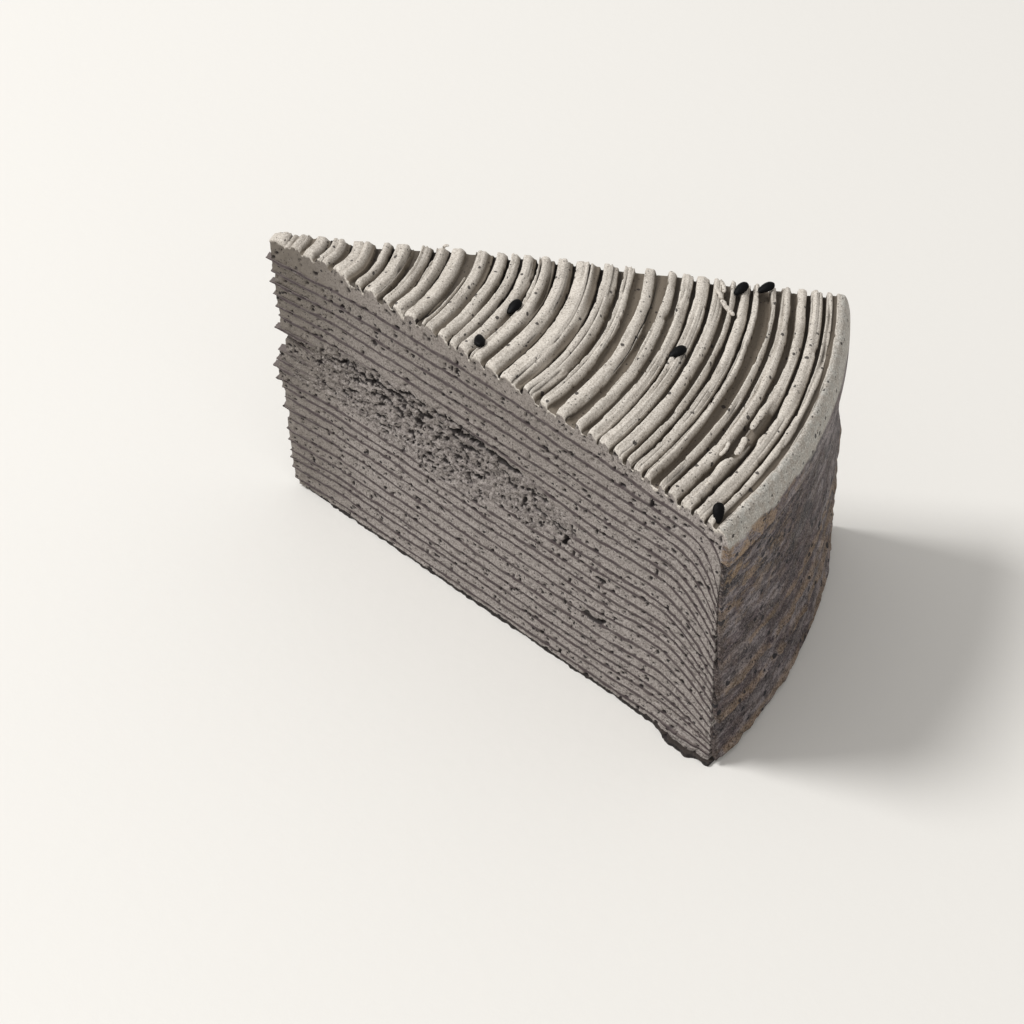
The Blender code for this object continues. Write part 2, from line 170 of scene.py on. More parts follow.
def crepeMiddle(number, radius, angle):
    # height + dome + sag + ripples - drop · reach to a power
    height = crepeHeights[number - 1]
    share = height / crepeHeights[-1]
    length, phase, turn = waves[number - 1]
    inner = np.maximum(radius, cake["tipBlend"])
    dome = 0.95 - 2.6 * ((inner - 33.0) / 57.0) ** 2
    sag = 0.6 * (1 + np.cos(np.pi * np.minimum(inner, 70.0) / 70.0)) + smooth((inner - 75.0) / 14.0)
    ripple = 0.12 * np.sin(math.tau * inner / length + phase) + 0.1 * np.sin(4 * angle + turn)
    east, north = radius * np.cos(angle), radius * np.sin(angle)
    fine = 0.2 * noise(east / 4.5, north / 4.5, number * 3.7, 71)
    fine = fine + 0.11 * noise(east / 1.5, north / 1.5, number * 3.7, 72)
    fine = fine * (1 - 0.6 * smooth((radius - 88.0) / 8.0))
    bendEnd = endRadius(number) + (cake["topShoulder"] if number == crepeCount else 0.0)
    reach = np.maximum(radius - cake["bendStart"], 0.0) / (bendEnd - cake["bendStart"])
    return (height + share**2 * dome + 7.0 * share * (1 - share) ** 2 * sag
            + min(height / 4.0, 1.0) * (ripple + fine) - rimDrop(height) * reach ** (1.7 + 4.3 * share**8))


def crepeHalf(number, radius, angle):
    # half the upright thickness: more on a slope, thinner at the rim, and uneven along the crepe
    step = 0.4
    rise = crepeMiddle(number, radius + step, angle) - crepeMiddle(number, radius - step, angle)
    slope = np.minimum(np.sqrt(1 + (rise / (2 * step)) ** 2), 1.5)
    east, north = radius * np.cos(angle), radius * np.sin(angle)
    uneven = 1 + 0.25 * noise(east / 3.1, north / 3.1, number * 5.1, 73)
    uneven = uneven + 0.25 * noise(east / 0.9, north / 0.9, number * 5.1, 74)
    thin = (0.35 + 0.65 * smooth(radius / 3.5)) * (1 - 0.25 * smooth((radius - 93.0) / 6.0))
    return cake["crepeHalf"] * slope * uneven * thin


def crepeFace(number, radius, angle, side):  # a crepe's upper face at side +1 and its lower one at -1
    return crepeMiddle(number, radius, angle) + side * crepeHalf(number, radius, angle)


def planOf(radius, angle, tip, width):
    # polar outside tipBlend, and straight from there to a blunt tip
    share = np.minimum(radius / cake["tipBlend"], 1.0)
    far = np.maximum(radius, cake["tipBlend"])
    x = tip * (1 - share) + far * np.cos(angle) * share
    y = width * (angle / halfAngle) * (1 - share) + far * np.sin(angle) * share
    return x, y


def skirtLength(number):  # the end radius and the longest hang together
    return endRadius(number) + float(crepeMiddle(number, endRadius(number), 0.0)) - skirts["hems"][number]


def skirtPlace(number, run, angle, side):
    # past its end radius a wide crepe turns down and hangs outside the cake: side is +1 outside and -1 inside
    end = endRadius(number)
    start = crepeMiddle(number, end, angle)
    ragged = 0.45 * np.sin(5 * angle + waves[number - 1][2])
    ragged = ragged + skirts["ragged"] * layeredNoise(angle * 55.0, number * 7.0, 0.0, 3, 90)
    hang = np.maximum(run - end, 0.0)
    share = hang / (skirtLength(number) - end)
    height = start - share * (start - skirts["hems"][number] - ragged)
    turn = smooth(hang / skirts["turn"])
    torn = layeredNoise(angle * 38.0, number * 5.0, share * 2.0, 4, 91) * smooth((share - 0.75) / 0.25)
    outward = coreRadius(height) + skirts["gap"] + skirts["flare"] * share**4 + skirts["tatter"] * torn
    rumple = skinRelief(number, angle, height) * smooth((hang - 0.5) / 2.0) if side > 0 else 0.0
    radius = end + (outward - end) * turn + side * turn * skirts["half"] + rumple
    half = crepeHalf(number, end, angle)
    return radius * np.cos(angle), radius * np.sin(angle), height + side * half * (1 - turn)


# Relief of the cut faces and of the skin

tear = {"radius": 37.0, "height": 35.0, "long": 37.0, "tall": 8.8, "depth": 0.5, "crumb": 0.62, "hollow": 1.5}
cracks = (  # height, wander, begin and end radius, depth, width, seed
    (39.9, 0.9, 11.0, 60.0, 2.3, 0.3, 60), (41.9, 0.5, 23.0, 56.0, 1.6, 0.24, 64),
    (37.2, 0.8, 18.0, 50.0, 1.4, 0.26, 68),
)
holes = (  # in the front cut: radius, height, half sizes, depth
    (68.0, 31.0, 0.9, 1.0, 1.1), (76.0, 27.0, 1.2, 0.5, 0.9), (75.0, 16.6, 2.6, 0.7, 0.5),
    (77.0, 17.2, 1.0, 0.6, 0.7), (85.3, 52.6, 0.35, 1.3, 0.9), (33.5, 36.6, 1.2, 0.7, 1.1),
    (38.6, 18.6, 0.8, 0.35, 0.7), (62.8, 49.6, 0.5, 0.35, 0.7), (75.1, 37.5, 0.4, 0.6, 0.8),
    (43.0, 54.2, 0.35, 0.6, 0.6), (47.5, 17.6, 0.5, 0.25, 0.4), (73.2, 19.7, 0.6, 0.3, 0.5),
    (85.8, 29.5, 0.8, 0.35, 0.5), (23.5, 49.8, 0.5, 0.9, 0.4), (38.2, 5.3, 0.6, 0.4, 0.5),
    (15.8, 53.6, 0.5, 0.35, 0.5),
)


def tearShare(radius, height):  # 1 in the torn crumb, 0 outside an uneven oval
    uneven = 0.35 * noise(radius / 6.0, height / 3.0, 0.5, 11)
    uneven = uneven + 0.2 * noise(radius / 2.0, height / 1.2, 0.5, 12)
    oval = ((radius - tear["radius"]) / tear["long"]) ** 2 + ((height - tear["height"]) / tear["tall"]) ** 2
    return smooth((1.1 + uneven - oval) / 0.6)


def tearRecess(radius, height):  # the shallow oval that the tear sets back
    along = np.clip(1 - ((radius - 38.0) / 32.0) ** 2, 0, 1)
    return tear["depth"] * along * np.clip(1 - ((height - 35.0) / 8.0) ** 2, 0, 1)


def crack(radius, height, middle, wander, begin, finish, depth, width, seed):
    # depth · bell of the distance to a wandering line, open in an uneven way between begin and finish
    line = middle + wander * noise(radius / 4.0, seed, 0.0, seed)
    line = line + 0.4 * wander * noise(radius, seed, 0.0, seed + 1)
    opening = smooth((radius - begin) / 6.0) * smooth((finish - radius) / 6.0)
    opening = np.clip(opening * (0.65 + 0.9 * noise(radius / 2.0, seed, 3.0, seed + 2)), 0, 1)
    return depth * opening * bell(height - line, width)


def cutRelief(radius, height, side):
    # how far a cut stands out: grain, the knife's drag and pores, and at the front the torn crumb and cracks
    seed = 0 if side > 0 else 400
    relief = 0.05 * layeredNoise(radius / 1.1, height / 0.5, 2.0 * side, 3, seed + 20)
    relief = relief + 0.06 * noise(radius / 9.0, height / 0.8, 3.0 * side, seed + 24)
    relief = relief - 1.1 * pitDepth(radius, height, 1.5, 0.6, 0.2, 0.55, seed + 30)
    crowd = 0.3 + 0.4 * smooth((radius - 45.0) / 30.0)
    relief = relief - 1.2 * pitDepth(radius, height, 2.3, crowd, 0.25, 0.5, seed + 34)
    nearTip = 0.22 * smooth((14.0 - radius) / 14.0)
    relief = relief + nearTip * layeredNoise(radius / 1.4, height / 0.9, 7.0 * side, 3, seed + 70)
    if side < 0:
        return relief
    warpedRadius = radius + 0.8 * noise(radius / 1.6, height / 1.3, 1.0, 40)
    warpedHeight = height + 0.6 * noise(radius / 1.5, height / 1.4, 5.0, 41)
    crumb = layeredNoise(warpedRadius / 1.3, warpedHeight / 0.7, 2.0, 4, 42, 0.75) * 1.6
    hollow = pitDepth(warpedRadius + 0.5 * crumb, warpedHeight - 0.3 * crumb, 1.3, 0.6, 0.15, 0.65, 50)
    relief = relief + tearShare(radius, height) * (tear["crumb"] * crumb - tear["hollow"] * hollow)
    for values in cracks:
        relief = relief - crack(radius, height, *values)
    for holeRadius, holeHeight, halfLong, halfTall, depth in holes:
        away = ((warpedRadius - holeRadius) / halfLong) ** 2 + ((warpedHeight - holeHeight) / halfTall) ** 2
        relief = relief - depth * smooth(1.3 - away)
    return relief


def ringRelief(zone, radius, height):  # the relief of both cuts round a ring, and none elsewhere
    front, back = cutRelief(radius, height, 1), cutRelief(radius, height, -1)
    return np.where(zone == 0, front, np.where(zone == 2, back, 0.0))


def skinRelief(number, angle, height):
    # low rumples, creases that run round the rim, and small pits
    around = angle * 100.0
    relief = 0.16 * layeredNoise(around / 5.0, height / 2.2, number * 2.0, 3, 100)
    relief = relief + 0.07 * noise(around / 7.0, height / 0.7, number * 2.0, 104)
    return relief - 0.5 * pitDepth(around, height, 2.3, 0.3, 0.2, 0.5, 110)


# Meshes

def makePiece(name, points, faces, materials, slot, nodes, attributes=None, faceSlots=None, sharpSets=()):
    # millimetres from the cake's axis become metres inside the solids' box; the object stays at the origin
    places = (np.asarray(points) + (cake["axisX"], cake["axisY"], 0.0)) * mm
    places = np.clip(places, np.array(cadBox[0]), np.array(cadBox[1]))
    mesh = bpy.data.meshes.new(name)
    mesh.from_pydata(places.tolist(), [], faces)
    for material in materials:
        mesh.materials.append(material)
    if faceSlots is not None:
        mesh.polygons.foreach_set("material_index", np.asarray(faceSlots, np.int32))
    for key, values in (attributes or {}).items():
        field = mesh.attributes.new(key, "FLOAT", "POINT")
        field.data.foreach_set("value", np.asarray(values, np.float32).ravel())
    mesh.polygons.foreach_set("use_smooth", np.ones(len(mesh.polygons), bool))
    if len(sharpSets):
        ends = np.empty(len(mesh.edges) * 2, np.int32)
        mesh.edges.foreach_get("vertices", ends)
        ends = ends.reshape(-1, 2)
        sharp = np.zeros(len(ends), bool)
        for low, high in sharpSets:  # edges whose two ends both lie in one row of points
            sharp |= ((ends >= low) & (ends < high)).all(axis=1)
        mesh.attributes.new("sharp_edge", "BOOLEAN", "EDGE").data.foreach_set("value", sharp)
    mesh.update()
    piece = bpy.data.objects.new(name, mesh)
    bpy.context.scene.collection.objects.link(piece)
    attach(piece, "root")
    if nodes:
        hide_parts(*nodes)
    return piece


def capTriangles(run, angle, inner):
    # triangles over a ring and the points inside it, laid flat as run and 60 · angle
    flat = np.concatenate([np.stack([run, angle], axis=1), inner]) * (1.0, 60.0)
    count = len(run)
    edges = [(i, (i + 1) % count) for i in range(count)]
    made = delaunay_2d_cdt([Vector(place) for place in flat], edges, [], 1, 1e-7)
    if len(made[0]) != len(flat):
        raise RuntimeError("the outline of a layer crosses itself")
    origin = np.array([kept[0] for kept in made[3]])
    triangles = origin[np.array(made[2])]
    a, b, c = flat[triangles[:, 0]], flat[triangles[:, 1]], flat[triangles[:, 2]]
    turned = (b[:, 0] - a[:, 0]) * (c[:, 1] - a[:, 1]) < (b[:, 1] - a[:, 1]) * (c[:, 0] - a[:, 0])
    triangles[turned] = triangles[turned][:, ::-1]
    return triangles


def gridFaces(index):  # quads over a grid of point numbers
    corners = (index[:-1, :-1], index[1:, :-1], index[1:, 1:], index[:-1, 1:])
    return np.stack(corners, axis=-1).reshape(-1, 4)


def wallFaces(rows, count):  # quads between neighbouring rows of a closed ring of points
    index = np.arange(count)
    after = np.roll(index, -1)
    row = np.arange(rows)[:, None] * count
    corners = (row + index, row + after, row + after + count, row + index + count)
    return np.stack(corners, axis=-1).reshape(-1, 4)


def ringOf(end, rimStep, tipSteps):
    # run and angle once round a layer: up the front cut, round the rim, down the back cut and across the tip
    front = np.linspace(0.0, end, int(end / sampling["front"]))
    back = np.linspace(end, 0.0, int(end / sampling["back"]))
    rim = np.linspace(-halfAngle, halfAngle, int(200 * halfAngle / rimStep))[1:-1]
    tip = np.linspace(halfAngle, -halfAngle, tipSteps + 1)[1:-1]
    run = np.concatenate([front, np.full(len(rim), end), back, np.zeros(len(tip))])
    angle = np.concatenate([np.full(len(front), -halfAngle), rim, np.full(len(back), halfAngle), tip])
    zone = np.repeat([0, 1, 2, 3], [len(front), len(rim), len(back), len(tip)])
    return run, angle, zone


def outwardOf(angle, zone):
    # the level direction out of the slice: square to a cut, from the axis at the rim, and along -X at the tip
    zones = [zone == 0, zone == 1, zone == 2]
    x = np.select(zones, [-math.sin(halfAngle), np.cos(angle), -math.sin(halfAngle)], -1.0)
    y = np.select(zones, [-math.cos(halfAngle), np.sin(angle), math.cos(halfAngle)], 0.0)
    return x, y


def netInside(last, fineFrom):
    # run and angle of points inside the ring: a wide net, and a fine one where a skirt hangs
    found = []
    for run in np.arange(16.0, min(last, fineFrom) - 2.5, sampling["net"]):
        steps = max(2, int(run * 2 * halfAngle / sampling["net"])) + 2
        turns = np.linspace(-halfAngle, halfAngle, steps)[1:-1]
        found.append(np.stack([np.full(len(turns), run), turns], axis=1))
    if fineFrom < last:
        runs = np.linspace(fineFrom, last, max(3, int((last - fineFrom) / sampling["skirt"])))[:-1]
        turns = np.linspace(-halfAngle, halfAngle, int(200 * halfAngle / sampling["skirt"]))[1:-1]
        found.append(np.stack(np.meshgrid(runs, turns, indexing="ij"), axis=-1).reshape(-1, 2))
    return np.concatenate(found)


def makeLayer(name, node, last, rows, placeAt, look, materials, slot, end=None):
    # closed layer: a wall of rows round its ring, low + (high - low) · share + outward · relief, and two caps
    skirted = end is not None
    run, angle, zone = ringOf(last, sampling["skirt"] if skirted else sampling["rim"], sampling["tip"])
    inner = netInside(last, end - 0.6 if skirted else 1e9)
    triangles = capTriangles(run, angle, inner)
    low, high = placeAt(run, angle, -1), placeAt(run, angle, 1)
    share = np.linspace(0.0, 1.0, rows + 1)[:, None]
    x, y, z = (a + (b - a) * share for a, b in zip(low, high))
    radius = np.broadcast_to(np.minimum(run, 102.0), z.shape)
    relief = ringRelief(zone, radius, z)
    if skirted:
        relief = relief * (1 - 0.8 * smooth(run - end + 1.0))
    # how deep the relief sinks: where painted shade goes in pores, holes and cracks
    cavity = np.clip((-relief - 0.08) / 0.55, 0, 1)
    relief = relief + look["proud"] * np.sin(np.pi * share) * (zone != 1)
    relief = relief + look["ragged"] * noise(run / 1.3, z / 0.6, look["seed"], 81) * (zone != 1)
    relief = relief + np.where(zone == 0, look["flare"](run, z) - tearRecess(radius, z), 0.0)
    relief = np.where(zone == 3, -0.3 * np.abs(layeredNoise(y / 0.7, z / 0.6, look["seed"], 2, 82)), relief)
    outX, outY = outwardOf(angle, zone)
    walls = np.stack([x + outX * relief, y + outY * relief, z], axis=-1).reshape(-1, 3)
    insideLow = np.stack(placeAt(inner[:, 0], inner[:, 1], -1), axis=1)
    insideHigh = np.stack(placeAt(inner[:, 0], inner[:, 1], 1), axis=1)
    count, extra = len(run), len(inner)
    top = rows * count
    lowCap = np.where(triangles < count, triangles, triangles + top)
    highCap = np.where(triangles < count, triangles + top, triangles + top + extra)
    faces = wallFaces(rows, count).tolist() + lowCap[:, ::-1].tolist() + highCap.tolist()
    nothing = np.zeros(2 * extra)
    attributes = {
        "cavity": np.append(cavity.ravel(), nothing),
        "across": np.concatenate([np.broadcast_to(share, z.shape).ravel(), np.zeros(extra), np.ones(extra)]),
        "torn": np.append(np.where(zone == 0, tearShare(radius, z), 0.0).ravel(), nothing),
    }
    faceSlots = None
    if skirted:
        hangs = np.append(run, inner[:, 0])[triangles].mean(axis=1) > end - 0.8
        faceSlots = np.concatenate([np.tile((zone == 1) | (run > end + 0.4), rows), hangs, hangs]).astype(int)
        toHem = np.append(np.tile(run, rows + 1), np.tile(inner[:, 0], 2))
        attributes["hem"] = smooth((toHem - last + 1.9) / 1.1)
        # where painted shade goes along the top of the skirt, below the hem that hangs over it
        attributes["tuckShade"] = smooth((end + 3.2 - toHem) / 2.0)
    points = np.concatenate([walls, insideLow, insideHigh])
    creases = ((0, count), (top, top + count))
    return makePiece(name, points, faces, materials, slot, [node], attributes, faceSlots, creases)


# Shader maths

class Tone:
    # a socket that takes part in sums: every operator adds one Math node
    def __init__(self, board, socket):
        self.board = board
        self.socket = socket

    def maths(self, operation, *values):
        return self.board.node("ShaderNodeMath", {"operation": operation}, dict(enumerate(values)))

    def __add__(self, other):
        return self.maths("ADD", self, other)

    def __radd__(self, other):
        return self.maths("ADD", other, self)

    def __sub__(self, other):
        return self.maths("SUBTRACT", self, other)

    def __rsub__(self, other):
        return self.maths("SUBTRACT", other, self)

    def __mul__(self, other):
        return self.maths("MULTIPLY", self, other)

    def __rmul__(self, other):
        return self.maths("MULTIPLY", other, self)

    def __truediv__(self, other):
        return self.maths("DIVIDE", self, other)

    def __pow__(self, other):
        return self.maths("POWER", self, other)

    def __lt__(self, other):
        return self.maths("LESS_THAN", self, other)

    def rise(self, low, high):  # 0 at low and 1 at high, by 3t² - 2t³
        sockets = {"Value": self, "From Min": low, "From Max": high}
        return self.board.node("ShaderNodeMapRange", {"interpolation_type": "SMOOTHSTEP"}, sockets)

    def out(self, name):  # another output of the same node
        return Tone(self.board, self.socket.node.outputs[name])


class Board:
    # the nodes of one material, in millimetres on Object coordinates
    def __init__(self, name, **fixed):
        self.material = bpy.data.materials.new(name)
        self.material.use_nodes = True
        self.nodes = self.material.node_tree.nodes
        self.links = self.material.node_tree.links
        self.shader = self.nodes["Principled BSDF"]
        for key, value in fixed.items():
            self.shader.inputs[key.replace("_", " ")].default_value = value
        self.place = self.node("ShaderNodeTexCoord", {}, {}, "Object")

    def node(self, kind, settings, sockets, output=0):
        made = self.nodes.new(kind)
        for key, value in settings.items():
            setattr(made, key, value)
        for key, value in sockets.items():
            self.plug(made.inputs[key], value)
        return Tone(self, made.outputs[output])

    def plug(self, socket, value):
        if isinstance(value, Tone):
            self.links.new(value.socket, socket)
        elif isinstance(value, tuple) and socket.type == "RGBA":
            socket.default_value = (*value, 1.0)
        else:
            socket.default_value = value

    def mix(self, share, first, second):  # the second colour laid over the first by a share
        return self.node("ShaderNodeMix", {"data_type": "RGBA"}, {0: share, 6: first, 7: second}, 2)

    def coats(self, colour, *laid):  # colours laid over one another, each by its share
        for share, tone in laid:
            colour = self.mix(share, colour, tone)
        return colour

    def stretched(self, stretch):
        return self.node("ShaderNodeVectorMath", {"operation": "MULTIPLY"}, {0: self.place, 1: stretch})

    def clouds(self, size, detail=3.0, stretch=(1, 1, 1), roughness=0.55, distortion=0.0):
        sockets = {"Vector": self.stretched(stretch), "Scale": 1000 / size, "Detail": detail,
                   "Roughness": roughness, "Distortion": distortion}
        return self.node("ShaderNodeTexNoise", {}, sockets)

    def specks(self, cell, share, small, large, stretch=(1, 1, 1)):
        # grains in a share of the cells, where the distance to the cell's middle is below the grain's size
        sockets = {"Vector": self.place, "Scale": 2500 / cell, "Detail": 2.0}
        bent = self.node("ShaderNodeTexNoise", {}, sockets, "Color")
        moved = self.node("ShaderNodeVectorMath", {"operation": "MULTIPLY_ADD"},
                          {0: bent, 1: (0.00022 * cell,) * 3, 2: self.stretched(stretch)})
        cells = self.node("ShaderNodeTexVoronoi", {}, {"Vector": moved, "Scale": 1000 / cell}, "Distance")
        parts = self.node("ShaderNodeSeparateColor", {}, {"Color": cells.out("Color")}, "Red")
        size = (small + (large - small) * parts.out("Green") ** 2.0) / cell
        inside = (size - cells).rise(0.0, 0.22 * small / cell)
        return inside * (parts < share)

    def attribute(self, name):
        return self.node("ShaderNodeAttribute", {"attribute_name": name}, {}, "Fac")

    def along(self, axis, low, high):  # 0 to 1 along one axis, in millimetres of the frame
        parts = self.node("ShaderNodeSeparateXYZ", {}, {"Vector": self.place}, axis)
        return (parts * 1000.0).rise(low, high)

    def finish(self, colour, roughness, height, depth):
        self.plug(self.shader.inputs["Base Color"], colour)
        self.plug(self.shader.inputs["Roughness"], roughness)
        sockets = {"Height": height, "Distance": depth * mm, "Strength": 1.0}
        bump = self.node("ShaderNodeBump", {}, sockets, "Normal")
        self.links.new(bump.socket, self.shader.inputs["Normal"])
        return self.material


# hollow is painted shade for pores, holes and cracks, groove is brown painted shade, slit is near-black
# painted shadow; pale is also the painted highlight on the tear's crumbs
cream = {
    "cut": (0.285, 0.25, 0.232), "smear": (0.185, 0.163, 0.148), "pale": (0.42, 0.38, 0.35),
    "dusk": (0.125, 0.105, 0.096), "tipTone": (0.15, 0.128, 0.104), "speck": (0.014, 0.010, 0.010),
    "hollow": (0.016, 0.011, 0.011), "top": (0.61, 0.56, 0.495), "topPale": (0.77, 0.725, 0.66),
    "topDull": (0.30, 0.265, 0.225), "groove": (0.12, 0.095, 0.068), "slitShadow": (0.013, 0.009, 0.007),
    "collar": (0.37, 0.365, 0.335),
}
crepe = {
    "core": (0.058, 0.042, 0.043), "edge": (0.155, 0.13, 0.12),
    "soggyCore": (0.012, 0.009, 0.008), "soggyEdge": (0.04, 0.031, 0.026),
}
seedBlack = {"fresh": (0.0015, 0.0015, 0.0018), "worn": (0.006, 0.0055, 0.005)}


def paintedPoreShade(board):  # painted shade: near black in pores, holes and cracks
    return board.attribute("cavity").rise(0.04, 0.5) * 0.93, cream["hollow"]


def cutCreamColour(board):
    # smears along the layers, fine grain, a browner top and tip, shreds of crepe in the tear, painted
    # highlights on the crumbs of the tear, and dark specks
    smear = board.clouds(2.6, 4.0, (1, 1, 2.2)).rise(0.42, 0.68)
    grain = board.clouds(0.32, 2.0).rise(0.36, 0.64)
    nearTip = 1.0 - board.along("X", -50.0, -26.0)
    high = board.along("Z", 28.0, 56.0) * (1.0 - board.along("X", 0.0, 44.0))
    torn = board.attribute("torn")
    large = board.specks(1.3, 0.7, 0.1, 0.42, (1, 1, 1.15))
    small = board.specks(0.55, 0.6, 0.08, 0.17)
    colour = board.coats(
        cream["cut"],
        (smear * 0.55, cream["smear"]),
        (grain * 0.85, cream["pale"]),
        (board.clouds(0.42, 2.0).rise(0.5, 0.68) * 0.75, cream["dusk"]),
        (nearTip * 0.55 + high * 0.4, cream["tipTone"]),
        (board.specks(2.0, 0.7, 0.25, 0.7, (1, 1, 1.8)) * 0.55, cream["smear"]),
        (torn * board.clouds(1.1, 4.0, (1, 1, 1.4)).rise(0.42, 0.6) * 0.4, crepe["core"]),
        # painted highlights on the crumbs of the tear
        (torn * board.clouds(0.6, 3.0).rise(0.54, 0.66) * 0.8, cream["pale"]),
        (large * 0.95 + small * 0.75, cream["speck"]))
    return colour, smear, grain, large


def makeCutCream():
    board = Board("layerCream", Specular_IOR_Level=0.35)
    colour, smear, grain, large = cutCreamColour(board)
    # painted shade in pores, holes and cracks
    colour = board.coats(colour, paintedPoreShade(board))
    height = board.clouds(0.35, 3.0) + board.clouds(1.2, 3.0, (1, 1, 1.6)) * 0.6 - large * 0.6
    return board.finish(colour, 0.52 + grain * 0.2 + smear * 0.1, height, 0.3)


def makeCrepe(name, core, edge):
    # dark in the middle of its thickness and paler at both edges; the tear is smeared with cream and its
    # painted highlights, and pores and cracks get painted shade
    board = Board(name, Specular_IOR_Level=0.35)
    across = board.attribute("across")
    uneven = board.clouds(0.7, 3.0, (1, 1, 0.7)) * 0.9
    inside = (1.0 - (across * 2.0 - 1.0) ** 2.0 + uneven - 0.5).rise(0.05, 0.85)
    paste, _, grain, _ = cutCreamColour(board)
    colour = board.coats(
        edge,
        (inside, core),
        (board.clouds(2.2, 4.0).rise(0.45, 0.75) * 0.45, edge),
        (board.attribute("torn").rise(0.1, 0.6) * 0.93, paste),
        (board.specks(1.1, 0.35, 0.1, 0.25), cream["speck"]),
        # painted shade in pores, holes and cracks
        paintedPoreShade(board))
    height = board.clouds(0.4, 4.0) + board.clouds(1.5, 3.0) * 0.5
    return board.finish(colour, 0.5 + grain * 0.25, height, 0.2)


skin = {
    "mauve": (0.112, 0.085, 0.09), "grey": (0.25, 0.218, 0.222), "dark": (0.028, 0.02, 0.021),
    "tan": (0.30, 0.205, 0.12), "blue": (0.009, 0.009, 0.014), "pale": (0.32, 0.28, 0.26),
    "brown": (0.045, 0.026, 0.018),
}


def skinColour(board):
    # mauve and grey blotches, dark streaks and clusters, tan patches and hems, painted shade along the top of
    # each skirt below the hem above, a brown front edge, and specks
    streak = board.clouds(2.6, 6.0, (0.7, 0.7, 2.0), 0.7).rise(0.47, 0.6)
    grain = board.clouds(0.36, 3.0, (1, 1, 1.2), 0.65)
    cluster = board.clouds(9.0, 6.0, (1, 1, 1.4), 0.7).rise(0.52, 0.6)
    high = board.along("Z", 26.0, 46.0) * (1.0 - board.along("Y", -30.0, 2.0))
    patch = board.clouds(3.6, 6.0, (1, 1, 1.5), 0.7).rise(0.47, 0.57)
    hem = board.attribute("hem") * board.clouds(5.0, 5.0, (1, 1, 1.5)).rise(0.36, 0.52)
    frontEdge = 1.0 - board.along("Y", -31.4, -29.9)
    spots = board.specks(1.9, 0.75, 0.16, 0.75, (1, 1, 1.3))
    small = board.specks(0.6, 0.75, 0.09, 0.22)
    colour = board.coats(
        skin["mauve"],
        (board.clouds(8.0, 6.0, (1, 1, 1.8), 0.6).rise(0.45, 0.56), skin["grey"]),
        (streak * 0.6, skin["dark"]),
        (cluster * (board.along("Z", 14.0, 44.0) * 0.5 + 0.3), skin["blue"]),
        (patch * (high * 0.85 + 0.12), skin["tan"]),
        # painted shade along the top of each skirt
        (board.attribute("tuckShade") * 0.6, skin["dark"]),
        (hem * 0.6, skin["tan"]),
        (frontEdge * 0.7, skin["brown"]),
        (grain.rise(0.5, 0.64) * 0.5, skin["pale"]),
        ((1.0 - grain).rise(0.5, 0.62) * 0.6, skin["dark"]),
        (spots * 0.85 + small * 0.75, skin["blue"]))
    return colour, streak, spots


def makeSkin():
    board = Board("rimSkin", Specular_IOR_Level=0.3)
    colour, streak, spots = skinColour(board)
    height = board.clouds(0.6, 5.0) + streak * 0.5 - spots * 0.7
    return board.finish(colour, 0.5 + board.clouds(2.0, 3.0) * 0.3, height, 0.4)


def makeTopCream():
    # dull clouds, a grey-green collar, salt and pepper grain, brown painted shade in the grooves, on fine
    # lines and on falling flanks, near-black painted shadow in the slits, and specks; the walls below the
    # comb look like the cut, with painted shade in their pores, and the stained foot of the collar looks like
    # the rim
    board = Board("combedCream", Specular_IOR_Level=0.3)
    dull = board.clouds(5.0, 4.0).rise(0.42, 0.7)
    farDull = 1.0 - board.along("X", -52.0, 6.0)
    mottled = board.clouds(1.4, 5.0).rise(0.42, 0.58)
    grain = board.clouds(0.3, 2.0, (1, 1, 1), 0.6)
    large = board.specks(1.8, 0.75, 0.14, 0.48)
    small = board.specks(0.65, 0.7, 0.08, 0.2)
    colour = board.coats(
        cream["top"],
        (dull * 0.35 + farDull * 0.3, cream["topDull"]),
        (board.attribute("collar") * 0.85, board.mix(mottled * 0.7, cream["collar"], cream["topDull"])),
        (grain.rise(0.5, 0.64) * 0.5, cream["topPale"]),
        ((1.0 - grain).rise(0.5, 0.62) * 0.5, cream["topDull"]),
        # brown painted shade in the grooves, and near-black painted shadow in the slits below
        (board.attribute("groove").rise(0.1, 0.75) * 0.93, cream["groove"]),
        (board.attribute("slitShadow").rise(0.15, 0.8) * 0.95, cream["slitShadow"]),
        (large * 0.85 + small * 0.65, cream["speck"]),
        (board.attribute("below"), cutCreamColour(board)[0]),
        (board.attribute("stain"), skinColour(board)[0]),
        paintedPoreShade(board))
    height = board.clouds(0.35, 3.0) * 0.8 + board.clouds(1.5, 3.0) * 0.4 - large * 0.4
    return board.finish(colour, 0.55 + grain * 0.2, height, 0.1)


def makeSeedSkin():
    board = Board("sesameSkin", Specular_IOR_Level=0.1)
    worn = board.clouds(0.9, 4.0).rise(0.5, 0.75)
    colour = board.mix(worn * 0.6, seedBlack["fresh"], seedBlack["worn"])
    return board.finish(colour, 0.42 + board.clouds(0.5, 3.0) * 0.2, board.clouds(0.35, 4.0), 0.06)


layerCream = makeCutCream()
crepeCut = makeCrepe("crepe", crepe["core"], crepe["edge"])
soggyCut = makeCrepe("soggyCrepe", crepe["soggyCore"], crepe["soggyEdge"])
rimSkin = makeSkin()
combedCream = makeTopCream()
sesameSkin = makeSeedSkin()
print("finishes made")


# Crepes and the cream between them

footSpread = {  # millimetres, and each layer's share of the spread
    "reach": 2.4, "start": 89.0, "long": 8.0, "loss": 0.55,
    "shares": {"crepe_01": 1.0, "cream_01": 0.5, "crepe_02": 0.3, "cream_02": 0.15},
}


